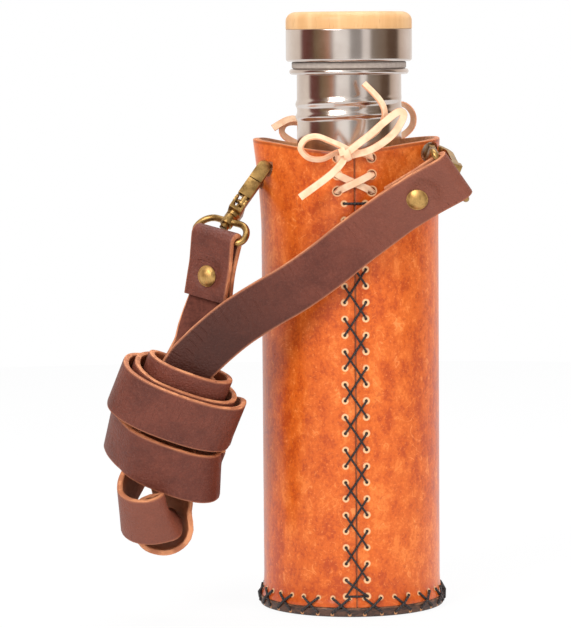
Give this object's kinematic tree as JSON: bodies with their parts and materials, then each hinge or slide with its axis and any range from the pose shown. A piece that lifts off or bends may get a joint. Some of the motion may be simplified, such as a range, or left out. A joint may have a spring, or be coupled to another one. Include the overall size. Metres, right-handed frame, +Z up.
{
  "type": "bottle carrier",
  "caption": "Stitched leather sleeve with laced rim, round base, a clip-on shoulder strap wound into a bundle, and the removable screw-capped steel bottle it carries.",
  "frame": {"origin": "centre of the base disc's underside, where the carrier stands", "axes": "+Z up along the sleeve, -Y towards the laced front seam and the viewer of the picture, +X to the viewer's right; the wound strap hangs at -X"},
  "size_m": [0.1622, 0.1104, 0.2653],
  "materials": {
    "tan_leather": "glossy, mottled, hand finished",
    "dark_leather": "waxed edge",
    "brown_leather": "satin",
    "pale_lace": "undyed, matt",
    "waxed_thread": "waxed",
    "antique_brass": "antique, brushed",
    "brass_cap": "polished dome",
    "spring_steel": "bright wire",
    "bottle_steel": "satin to mirror, electropolished",
    "grey_silicone": "matt",
    "black_plastic": "matt",
    "bamboo": "oiled, fine grain"
  },
  "bodies": {
    "sleeve": {"left_panel": "tan_leather", "right_panel": "tan_leather", "base_disc": "dark_leather", "front_seam_thread": "waxed_thread", "back_seam_thread": "waxed_thread", "base_thread": "waxed_thread", "front_lace": "pale_lace", "back_lace": "pale_lace", "shoulder_strap": "brown_leather", "left_rivet": "brass_cap", "right_rivet": "brass_cap", "left_eye": "antique_brass", "right_eye": "antique_brass"},
    "left_snap": {"left_hook": "antique_brass", "left_gate_pin": "antique_brass", "left_gate_spring": "spring_steel"},
    "right_snap": {"right_hook": "antique_brass", "right_gate_pin": "antique_brass", "right_gate_spring": "spring_steel"},
    "left_snap_gate": {"left_gate": "antique_brass"},
    "right_snap_gate": {"right_gate": "antique_brass"},
    "bottle": {"bottle_body": "bottle_steel"},
    "gasket": {"cap_gasket": "grey_silicone"},
    "cap": {"cap_plug": "black_plastic", "cap_shell": "bottle_steel", "cap_disc": "bamboo"}
  },
  "joints": [
    {"name": "bottle_lift", "type": "slide", "parent": "sleeve", "child": "bottle", "axis": [0, 0, 1], "range_m": [0, 0.22]},
    {"name": "cap_lift", "type": "slide", "parent": "bottle", "child": "gasket", "axis": [0, 0, 1], "range_m": [0, 0.0116]},
    {"name": "cap_turn", "type": "hinge", "parent": "gasket", "child": "cap", "pos_m": [0, 0, 0.25], "axis": [0, 0, 1], "range_deg": [0, 720]},
    {"name": "left_swivel", "type": "hinge", "parent": "sleeve", "child": "left_snap", "pos_m": [-0.05881, -0.03633, 0.16714], "axis": [0.51, 0.5, 0.7], "range_deg": [-6, 6]},
    {"name": "left_gate_open", "type": "hinge", "parent": "left_snap", "child": "left_snap_gate", "pos_m": [-0.04857, -0.02999, 0.18229], "axis": [-0.8471, 0.1504, 0.5098], "range_deg": [0, 20], "stiffness_Nm_per_rad": 0.02, "springref_deg": -20.05},
    {"name": "right_swivel", "type": "hinge", "parent": "sleeve", "child": "right_snap", "pos_m": [0.04226, -0.05555, 0.19367], "axis": [-0.09, 0.9659, 0.243], "range_deg": [-6, 6]},
    {"name": "right_gate_open", "type": "hinge", "parent": "right_snap", "child": "right_snap_gate", "pos_m": [0.03711, -0.03783, 0.19951], "axis": [-0.3605, 0.1958, -0.912], "range_deg": [0, 20], "stiffness_Nm_per_rad": 0.02, "springref_deg": -20.05}
  ],
  "couplings": [
    {"joint": "cap_lift", "follows": "cap_turn", "m_per_rad": 0.0009231}
  ]
}
